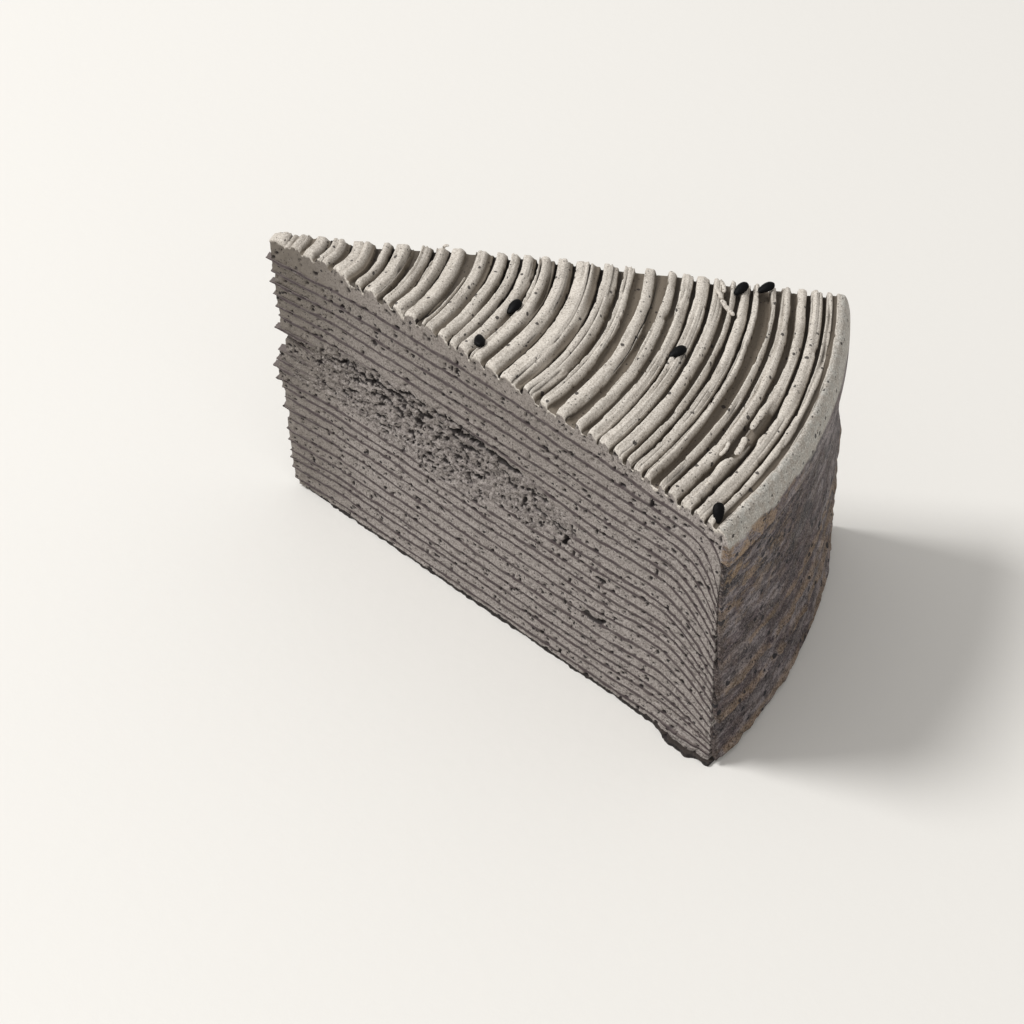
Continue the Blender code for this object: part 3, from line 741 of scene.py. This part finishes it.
def flareOf(node):
    # the bottom crepe spreads out of the front cut near the rim, and the layers on it follow by a share
    share = footSpread["shares"].get(node, 0.0)

    def flareAt(run, height):
        past = (run - footSpread["start"]) / footSpread["long"]
        ragged = 0.85 + 0.3 * noise(run / 1.3, height, 4.0, 85)
        crumbs = 0.4 * layeredNoise(run / 1.2, height / 0.8, 2.0, 4, 86)
        outward = footSpread["reach"] * smooth(past) * (1 - footSpread["loss"] * smooth(past - 1))
        return share * (outward * ragged + crumbs)
    return flareAt


def crepeAt(number, tip):
    # the crepe's middle with half its thickness on either side, and its skirt past the end radius
    def placeAt(run, angle, side):
        end = levelEnd(number)
        radius = np.minimum(run, end)
        x, y = planOf(radius, angle, tip, 0.65)
        height = crepeFace(number, radius, angle, side)
        if number == 1 and side < 0:
            height = np.zeros_like(height)
        if number not in skirts["hems"]:
            return x, y, height
        hanging = skirtPlace(number, run, angle, side)
        return tuple(np.where(run > end, far, near) for far, near in zip(hanging, (x, y, height)))
    return placeAt


def creamAt(number, tip):
    # from the upper face of one crepe to the lower face of the next
    def placeAt(run, angle, side):
        x, y = planOf(run, angle, tip, 0.6)
        low, high = crepeFace(number, run, angle, 1), crepeFace(number + 1, run, angle, -1)
        return x, y, low if side < 0 else np.maximum(high, low + 0.03)
    return placeAt


def tipOf(node):  # how far the solid reaches at the tip
    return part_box(node)[0][0] / mm - cake["axisX"]


for number in range(1, crepeCount + 1):
    node = f"crepe_{number:02d}"
    bottom = number == 1
    hanging = number in skirts["hems"]
    look = {"proud": 0.05, "ragged": 0.08, "seed": number * 2.0, "flare": flareOf(node)}
    last = skirtLength(number) if hanging else levelEnd(number)
    finishes = [soggyCut] if bottom else [crepeCut, rimSkin] if hanging else [crepeCut]
    makeLayer(f"crepeLayer_{number:02d}", node, last, sampling["crepeRows"], crepeAt(number, tipOf(node)),
              look, finishes, "bottom_crepe" if bottom else "crepe", endRadius(number) if hanging else None)
for number in range(1, crepeCount):
    node = f"cream_{number:02d}"
    look = {"proud": -0.05, "ragged": 0.05, "seed": number * 2.0 + 1.0, "flare": flareOf(node)}
    last = (endRadius(number) + endRadius(number + 1)) / 2 + cake["snug"]
    makeLayer(f"creamLayer_{number:02d}", node, last, sampling["creamRows"], creamAt(number, tipOf(node)),
              look, [layerCream], "layer_cream")
print("crepes and cream layers made")


# The combed cream on top

comb = {
    "crest": 61.6, "fall": 5.6, "tip": -1.2, "width": 0.8,
    "deep": 1.9, "shallow": 0.6, "wall": 0.2, "narrow": 0.16, "wide": 0.8, "outer": 60.0,
    "grooves": (4.4, 7.2, 10.0, 13.4, 18.4, 21.0, 24.9, 27.9, 30.6, 34.2, 38.4, 41.0, 43.1, 46.0, 49.4,
                52.7, 57.6, 61.0, 64.1, 68.0, 71.0, 73.7, 76.6, 79.4, 81.2, 83.6, 86.0, 88.4, 91.2, 93.8,
                96.6, 98.4),
    "wideGrooves": (18.4, 24.9, 34.2, 64.1, 68.0, 86.0),
    "collarStart": 99.5, "collarWall": 99.9, "collarRadius": 101.7, "collarFoot": 48.8,
    "columns": 560, "collarColumns": 16,
    "angles": 132, "wallRows": 11, "lip": 0.25, "lipTall": 0.6,
}
broken = {"from": 90.6, "to": 94.6, "start": 3.5, "end": 18.0, "depth": 0.9}


def crestHeight(radius):  # falls towards the rim, and is rounded at the very tip
    rounded = 0.35 * np.clip(1 - radius / 3.0, 0, 1) ** 2
    return comb["crest"] - comb["fall"] * (radius / 100.0) ** 3.2 - rounded


def backLift(radius, angle):  # the cream lies higher towards the back corner of the rim
    return 1.5 * smooth((radius - 80.0) / 19.0) * np.clip((angle + halfAngle) / (2 * halfAngle), 0, 1) ** 1.5


def combDepth(radius, angle):
    # grooves with steep ragged walls, crowned ridges between them, and finer grooves along some of the
    # ridges;
    # also where brown painted shade and near-black painted shadow go
    pick = random.Random(8)
    around = radius * (angle + halfAngle)  # millimetres along the ridge from the front cut
    places = [0.0, *comb["grooves"], comb["collarStart"] + 0.8]
    depth = np.zeros(np.broadcast(radius, angle).shape)
    grooved, slitShadow = np.zeros_like(depth), np.zeros_like(depth)
    for groove in comb["grooves"]:
        deep = comb["shallow"] + (comb["deep"] - comb["shallow"]) * float(smooth((groove - 5.0) / 13.0))
        deep = deep * pick.uniform(0.82, 1.08) * (1 + 0.14 * noise(around / 9.0, groove, 0.0, 120))
        deep = deep * (0.45 if groove > 98.0 else 1.0)
        outer = groove > comb["outer"]  # where the comb bit wider
        wide = comb["wide"] if outer else 0.7 * comb["wide"]
        widest = 1.7 if outer else 1.4
        narrow = comb["narrow"] + 0.09 * float(smooth((groove - 54.0) / 12.0))
        half = wide if groove in comb["wideGrooves"] else narrow * pick.uniform(0.65, widest)
        half = half * (1 + 0.3 * noise(around / 8.0, groove, 2.0, 121))
        ragged = 0.05 * noise(around / 0.9, groove, 4.0, 122) + 0.07 * noise(around / 3.2, groove, 6.0, 123)
        side = np.sign(radius - groove)
        nick = 0.18 * smooth((noise(around / 1.6, groove + side * 3.0, 9.0, 124) - 0.62) / 0.2)
        away = np.abs(radius - groove - 0.12 * noise(around / 6.0, groove, 8.0, 125)) - half - ragged - nick
        cut = 1 - smooth(away / comb["wall"])
        depth = np.maximum(depth, deep * cut)
        # where brown painted shade goes in the deeper grooves; it also keeps the crowns out of the grooves
        grooved = np.maximum(grooved, cut * smooth((deep - 0.3) / 0.5))
        # near-black painted shadow over the floor and lower wall of narrow grooves
        thin = np.clip(0.3 / half, 0.2, 1.0) * (0.6 if outer else 1.0)
        nearFloor = np.clip(1.0 - np.maximum(away, -0.1) / 0.22, 0, 1)
        slitShadow = np.maximum(slitShadow, thin * nearFloor * smooth((deep - 0.5) / 0.5))
    crown = np.zeros_like(depth)
    finer, fall = np.zeros_like(depth), np.zeros_like(depth)
    for begin, finish in zip(places, places[1:]):
        inside = (radius >= begin) & (radius < finish)
        along = (radius - (begin + finish) / 2) / ((finish - begin) / 2)
        lean = pick.uniform(-0.1, 0.22)
        slope = 1.0 + 0.3 * noise(around / 7.0, begin, 9.0, 135)
        slope = slope * (1 - 0.5 * float(smooth((begin - 50.0) / 14.0)))
        slope = slope * min(1.0, (finish - begin) / 3.0) * float(smooth((begin + 4.0) / 10.0))
        fall = np.where(inside, slope * smooth((along - 0.05) / 0.6), fall)
        bowed = 0.4 * np.abs(along) ** 2 + lean * along + 0.12 * noise(around / 5.0, begin, 1.0, 126)
        crown = np.where(inside, bowed, crown)
        broad = finish - begin > 3.0
        for turn in range((3 if broad else 2) + (begin > 52.0)):
            middle = pick.uniform(-0.6, 0.6)
            present = smooth((noise(around / 11.0, begin + middle, 3.0, 127) + 0.3) / 0.35)
            strong = present * pick.uniform(0.3, 0.7)
            if broad and turn == 0:  # the comb's teeth leave a clear line on each broad ridge
                strong = 0.75 + 0.4 * noise(around / 9.0, begin, 7.0, 134)
            line = along - middle - 0.08 * noise(around / 5.0, begin, 5.0, 128)
            scored = strong * bell(line * (finish - begin) / 2, 0.12)
            finer = np.where(inside, np.maximum(finer, scored), finer)
    streaks = 0.09 * noise(radius / 0.38, around / 9.0, 0.0, 129)
    streaks = streaks + 0.05 * layeredNoise(radius / 0.9, around, 2.0, 3, 130)
    flecks = 0.5 * pitDepth(radius, around, 3.1, 0.3, 0.15, 0.4, 131)
    degrees = np.degrees(angle + halfAngle)
    window = smooth((radius - broken["from"]) / 0.6) * smooth((broken["to"] - radius) / 0.6)
    window = window * smooth((degrees - broken["start"]) / 2.0) * smooth((broken["end"] - degrees) / 2.0)
    window = window * smooth((noise(radius / 1.1, around / 4.0, 5.0, 132) + 0.35) / 0.5)
    whole = depth + (crown + finer + fall) * (1 - grooved) + streaks + flecks
    # the fine lines get near-black painted shadow and brown painted shade, and the falling flanks brown
    # painted shade
    slitShadow = np.maximum(slitShadow, 0.9 * np.clip(finer / 0.9, 0, 1) ** 2)
    grooved = np.maximum(grooved, 0.75 * np.clip(finer / 0.9, 0, 1) ** 1.5)
    grooved = np.maximum(grooved, 0.7 * np.clip(fall / 0.9, 0, 1) ** 1.5)
    whole = whole + window * (broken["depth"] + 0.25 * noise(radius / 0.6, around, 2.0, 133)) * (1 - grooved)
    # the broken patch gets brown painted shade too
    return whole, np.clip(grooved + window * 0.6, 0, 1), np.clip(slitShadow, 0, 1)


def crowdedColumns():
    # radii packed closer at the walls of the grooves: equal steps of a running sum
    radius = np.linspace(0.0, comb["collarStart"], 6000)
    wish = np.ones_like(radius)
    for groove in comb["grooves"]:
        half = comb["wide"] if groove in comb["wideGrooves"] else comb["narrow"]
        wish = wish + 2.0 * bell(np.abs(radius - groove) - half - 0.12, 0.3)
    total = np.cumsum(wish)
    return np.interp(np.linspace(total[0], total[-1], comb["columns"]), total, radius)


def topSurface():
    # run, radius and height over a grid of columns and angles: the comb, and then the collar's quarter oval
    columns = crowdedColumns()
    turn = np.linspace(0.0, math.pi / 2, comb["collarColumns"] + 1)[1:]
    run = np.append(columns, comb["collarStart"] + 7.0 * turn / (math.pi / 2))
    edge = np.radians([0.0, 0.08, 0.2, 0.36])
    middle = np.linspace(-halfAngle, halfAngle, comb["angles"])[2:-2]
    angles = np.concatenate([edge - halfAngle, middle, halfAngle - edge[::-1]])
    bulge = comb["collarRadius"] - comb["collarStart"]
    plain = np.append(columns, comb["collarStart"] + bulge * np.sin(turn))
    radius, angle = np.meshgrid(plain, angles, indexing="ij")
    depth, grooved, slitShadow = combDepth(radius, angle)
    fromCut = radius * (halfAngle - np.abs(angle))
    fade = smooth((99.8 - radius) / 1.0)
    toes = 0.75 + 0.25 * smooth((fromCut + 0.5 * noise(radius / 1.4, 0.0, angle * 3.0, 140)) / 1.5)
    rounding = 0.45 * np.clip(1 - fromCut / 0.9, 0, 1) ** 2
    foot = comb["collarFoot"] + 0.8
    lift = backLift(radius, angle)
    level = crestHeight(np.minimum(radius, comb["collarStart"])) + lift
    oval = foot + (float(crestHeight(comb["collarStart"])) - foot) * np.cos(turn) ** 1.2
    lumps = 0.35 * layeredNoise(angle * 26.0, run[:, None] / 2.0, 1.0, 4, 141)
    oval = oval[:, None] + lift[len(columns):] * ((oval - oval[-1]) / (oval[0] - oval[-1]))[:, None]
    level[len(columns):] = oval + lumps[len(columns):] * np.sin(2 * turn)[:, None]
    height = level - depth * fade * toes - rounding
    wander = 0.16 * np.sin(9.0 * angle + radius / 7.0) * smooth((radius - 5.0) / 8.0)
    wander = wander * (radius < comb["collarStart"])
    # the last two are where painted shade goes in the grooves and painted shadow in the slits
    return run, radius + wander, angle, height, grooved * fade, slitShadow * fade


def makeTop():
    # the combed surface, walls down the cuts and the rim with a smeared lip at their top, and a cap below
    run, radius, angle, height, grooved, slitShadow = topSurface()
    rows, across = radius.shape
    x, y = planOf(radius, angle, comb["tip"], comb["width"])
    index = np.arange(rows * across).reshape(rows, across)
    ring = np.concatenate([index[:, 0], index[-1, 1:-1], index[::-1, -1], index[0, -2:0:-1]])
    zone = np.repeat([0, 1, 2, 3], [rows, across - 2, rows, across - 2])
    ringRun = np.broadcast_to(run[:, None], (rows, across)).ravel()[ring]
    ringRadius, ringAngle, ringTop = radius.ravel()[ring], angle.ravel()[ring], height.ravel()[ring]
    bed = crepeFace(crepeCount, ringRadius, ringAngle, 1)
    foot = comb["collarFoot"] + 0.1 * (comb["collarRadius"] - ringRadius)
    foot = foot + 0.6 * layeredNoise(ringAngle * 40.0, 0.0, 0.0, 3, 142)
    bed = np.where(ringRadius > comb["collarWall"], np.maximum(bed, foot), bed)
    share = np.linspace(0.0, 1.0, comb["wallRows"] + 1)[1:, None] ** 1.5
    z = ringTop + (bed - ringTop) * share
    below = ringTop - z
    edgeRadius = np.broadcast_to(ringRadius, z.shape)
    relief = ringRelief(zone, edgeRadius, z)
    droop = comb["lipTall"] + 0.6 * noise(ringRadius / 2.0, zone, 0.0, 143)
    droop = droop + 0.3 * noise(ringRadius / 0.7, zone, 0.0, 144)
    lip = smooth((droop - below) / 0.5)
    uneven = 0.7 + 0.5 * noise(ringRadius / 1.6, zone, 3.0, 145)
    relief = relief * (1 - lip) + comb["lip"] * lip * smooth(below / 0.35 + 0.2) * uneven
    relief = np.where((zone == 0) | (zone == 2), relief * smooth((101.2 - ringRadius) / 1.2), 0.0)
    blunt = -0.3 * np.abs(layeredNoise(ringAngle * 9, z / 0.8, 1.0, 2, 146)) * (1 - lip)
    relief = np.where(zone == 3, blunt, relief)
    outX, outY = outwardOf(ringAngle, zone)
    walls = np.stack([x.ravel()[ring] + outX * relief, y.ravel()[ring] + outY * relief, z], axis=-1)
    count, base = len(ring), rows * across
    after = np.roll(np.arange(count), -1)
    first = np.stack([ring, base + np.arange(count), base + after, ring[after]], axis=-1)
    others = wallFaces(comb["wallRows"] - 1, count)[:, ::-1] + base
    inner = netInside(run[-1] - 4.0, 1e9)
    triangles = capTriangles(ringRun, ringAngle, inner)
    lowest = base + (comb["wallRows"] - 1) * count
    innerX, innerY = planOf(inner[:, 0], inner[:, 1], comb["tip"], comb["width"])
    innerBed = crepeFace(crepeCount, inner[:, 0], inner[:, 1], 1)
    points = np.concatenate([np.stack([x, y, height], axis=-1).reshape(-1, 3), walls.reshape(-1, 3),
                             np.stack([innerX, innerY, innerBed], axis=1)])
    faces = gridFaces(index).tolist() + first.tolist() + others.tolist()
    faces += (triangles + lowest)[:, ::-1].tolist()
    onCut = zone != 1
    border = 52.9 - 0.9 * (angle + halfAngle) + 1.1 * layeredNoise(angle * 22.0, 0.0, 3.0, 4, 147)
    stain = smooth((border - height) / 0.5) * (radius > comb["collarWall"])
    wallStain = smooth((ringRadius - comb["collarWall"]) / 0.5) * smooth((53.0 - z) / 0.5)

    def spread(top, wall=0.0, cap=0.0):  # one value per point: the comb's, the walls' and the cap's
        parts = ((top, radius.shape), (wall, z.shape), (cap, len(inner)))
        return np.concatenate([np.broadcast_to(values, size).ravel() for values, size in parts])

    # groove carries brown painted shade, slit near-black painted shadow, and cavity painted shade in the
    # walls' pores
    attributes = {
        "groove": spread(grooved),
        "below": spread(0.0, (1 - lip) * onCut, 1.0),
        "cavity": spread(0.0, np.clip(-relief / 0.7, 0, 1) * onCut),
        "slitShadow": spread(slitShadow),
        "stain": spread(stain, np.maximum(wallStain, zone == 1)),
        "collar": spread(smooth((radius - 98.8) / 0.7), zone == 1),
    }
    return makePiece("combedTop", points, faces, [combedCream], "top_cream", ["top_cream"], attributes,
                     sharpSets=((lowest, lowest + count),))


makeTop()
print("combed cream made")


# Sesame seeds and torn strands of cream

seeds = {
    "long": 3.4, "wide": 1.9, "thick": 1.2, "broad": 0.25, "rings": 22, "sides": 18,
    "places": (  # radius, degrees from the front cut, heading, depth, tilt
        (45.5, 3.7, -63.0, 0.1, 6.0), (45.7, 17.3, 74.0, 0.4, 14.0), (74.7, 19.4, 56.0, 0.1, 10.0),
        (81.8, 34.1, 68.0, 0.0, 12.0), (86.1, 34.9, 52.0, 0.0, 12.0), (97.4, 1.1, 110.0, 0.1, 34.0)),
}
strips = {
    "rings": 26, "sides": 10,
    "places": (  # start and end as radius and degrees, lift and half thickness
        ((92.6, 17.5), (92.2, 12.4), 0.35, 0.55), ((92.0, 11.2), (92.6, 8.4), 0.2, 0.5),
        ((92.4, 7.4), (92.7, 3.4), 0.3, 0.6), ((77.4, 33.4), (78.7, 31.4), 0.35, 0.4),
        ((78.7, 31.4), (81.4, 29.1), 0.3, 0.42),
        ((78.3, 34.8), (78.9, 32.9), 0.35, 0.34), ((94.9, 13.6), (94.5, 11.0), 0.1, 0.35),
        ((90.4, 9.5), (90.7, 7.3), 0.1, 0.35), ((29.5, 34.6), (30.4, 35.6), 0.4, 0.3)),
}


def closedTubes(tubes):
    # each tube is a stack of closed rings; quads join the rings, and one face closes each end
    points, faces, start = [], [], 0
    for tube in tubes:
        rings, sides = tube.shape[:2]
        points.append(tube.reshape(-1, 3))
        faces += (wallFaces(rings - 1, sides) + start).tolist()
        faces.append((start + np.arange(sides)[::-1]).tolist())
        faces.append((start + (rings - 1) * sides + np.arange(sides)).tolist())
        start += rings * sides
    return np.concatenate(points), faces


def makeSeeds():
    # a flat drop: girth is sin(πt) · (1 + broad · along), squeezed to wide and thick, with slight dents
    t = np.linspace(0.012, 0.988, seeds["rings"])[:, None]
    turn = np.arange(seeds["sides"]) / seeds["sides"] * math.tau
    along = -np.cos(math.pi * t)
    girth = np.sin(math.pi * t) ** 0.9 * (1 + seeds["broad"] * along)
    tubes = []
    for place, (radius, degrees, heading, sunk, tilt) in enumerate(seeds["places"]):
        angle, head, nose = math.radians(degrees) - halfAngle, math.radians(heading), math.radians(tilt)
        dent = 1 + 0.04 * noise(along * 2.5, np.cos(turn) * 2, place * 3.0, 150)
        x = along / 2 * seeds["long"] * dent
        y = girth * np.cos(turn) / 2 * seeds["wide"] * dent
        z = girth * np.sin(turn) / 2 * seeds["thick"] * dent
        x, z = x * math.cos(nose) - z * math.sin(nose), x * math.sin(nose) + z * math.cos(nose)
        lift = float(crestHeight(radius) + backLift(radius, angle)) + 0.25 - sunk
        placeX = radius * math.cos(angle) + x * math.cos(head) - y * math.sin(head)
        placeY = radius * math.sin(angle) + x * math.sin(head) + y * math.cos(head)
        tubes.append(np.stack([placeX, placeY, lift + z], axis=-1))
    return makePiece("sesameSeeds", *closedTubes(tubes), [sesameSkin], "sesame_seed", ["top_cream"])


def makeStrips():
    # an uneven oval tube along a gently bowed line, thinning at both ends
    t = np.linspace(0.0, 1.0, strips["rings"])[:, None]
    turn = np.arange(strips["sides"]) / strips["sides"] * math.tau
    tubes = []
    for place, (begin, finish, lift, thick) in enumerate(strips["places"]):
        radius = begin[0] + (finish[0] - begin[0]) * t + 0.25 * np.sin(math.pi * t) * (1 if place % 2 else -1)
        angle = np.radians(begin[1] + (finish[1] - begin[1]) * t) - halfAngle
        uneven = 1 + 0.25 * noise(t * 7, np.cos(turn) * 1.5, place * 5.0, 160)
        girth = np.maximum(thick * np.sqrt(1 - (2 * np.abs(t - 0.5)) ** 8) * uneven, 0.03)
        middleX, middleY = radius * np.cos(angle), radius * np.sin(angle)
        height = crestHeight(radius) + backLift(radius, angle) + lift - 0.2
        height = height + 0.15 * noise(t * 4, place, 0.0, 161)
        runX, runY = np.gradient(middleX, axis=0), np.gradient(middleY, axis=0)
        long = np.hypot(runX, runY)
        placeX = middleX - runY / long * np.cos(turn) * girth
        placeY = middleY + runX / long * np.cos(turn) * girth
        tubes.append(np.stack([placeX, placeY, height + np.sin(turn) * girth * 0.75], axis=-1))
    return makePiece("creamStrips", *closedTubes(tubes), [combedCream], "top_cream", [])


makeSeeds()
makeStrips()
print("seeds and strips made")


# Floor, light and camera

studio = {
    "floor": 3.0, "floorTone": (0.78, 0.762, 0.725), "floorDull": (0.74, 0.72, 0.68), "sky": 0.56,
    "keyPower": 23.0, "keySize": 0.55, "keyPlace": (-1.0, -0.3, 1.4),
    "fillPower": 1.5, "fillSize": 1.2, "fillPlace": (0.9, -1.0, 1.0),
}
shot = {
    "place": (158.5646, -265.9722, 302.6583), "azimuth": 22.966, "elevation": 45.285, "roll": 1.1507,
    "lens": 77.34,
}


def makeFloor():
    half = studio["floor"] / 2
    steps = np.linspace(-half, half, 9)
    x, y = np.meshgrid(steps, steps, indexing="ij")
    index = np.arange(81).reshape(9, 9)
    quads = gridFaces(index)
    mesh = bpy.data.meshes.new("floor")
    mesh.from_pydata(np.stack([x, y, 0 * x], axis=-1).reshape(-1, 3).tolist(), [], quads.tolist())
    board = Board("paleFloor", Specular_IOR_Level=0.3)
    tone = board.mix(board.clouds(120.0, 3.0) * 0.3, studio["floorTone"], studio["floorDull"])
    mesh.materials.append(board.finish(tone, 0.55, board.clouds(3.0, 3.0), 0.05))
    floor = bpy.data.objects.new("floor", mesh)
    bpy.context.scene.collection.objects.link(floor)


def makeLight(name, place, power, size):
    lamp = bpy.data.lights.new(name, "AREA")
    lamp.shape = "DISK"
    lamp.size = size
    lamp.energy = power
    thing = bpy.data.objects.new(name, lamp)
    thing.location = place
    thing.rotation_euler = (Vector((0, 0, 0.03)) - Vector(place)).to_track_quat("-Z", "Y").to_euler()
    bpy.context.scene.collection.objects.link(thing)


def makeCamera():
    # looks along minus back, where back is (sin a · cos e, -cos a · cos e, sin e), and is rolled about it
    a, e, roll = (math.radians(shot[key]) for key in ("azimuth", "elevation", "roll"))
    back = Vector((math.sin(a) * math.cos(e), -math.cos(a) * math.cos(e), math.sin(e)))
    level = Vector((math.cos(a), math.sin(a), 0.0))
    upright = back.cross(level)
    right = math.cos(roll) * level + math.sin(roll) * upright
    up = -math.sin(roll) * level + math.cos(roll) * upright
    eye = bpy.data.cameras.new("camera")
    eye.lens = shot["lens"]
    eye.sensor_width = 36.0
    eye.clip_start = 0.01
    camera = bpy.data.objects.new("camera", eye)
    matrix = Matrix((right, up, back)).transposed().to_4x4()
    eastward, northward, high = shot["place"]
    matrix.translation = Vector((eastward + cake["axisX"], northward + cake["axisY"], high)) * mm
    camera.matrix_world = matrix
    bpy.context.scene.collection.objects.link(camera)
    bpy.context.scene.camera = camera


makeFloor()
makeLight("key", studio["keyPlace"], studio["keyPower"], studio["keySize"])
makeLight("fill", studio["fillPlace"], studio["fillPower"], studio["fillSize"])
makeCamera()
world = bpy.data.worlds.new("studio")
world.use_nodes = True
world.node_tree.nodes["Background"].inputs["Color"].default_value = (1.0, 0.985, 0.97, 1.0)
world.node_tree.nodes["Background"].inputs["Strength"].default_value = studio["sky"]
bpy.context.scene.world = world
bpy.context.scene.view_settings.view_transform = "Standard"
print("studio made")
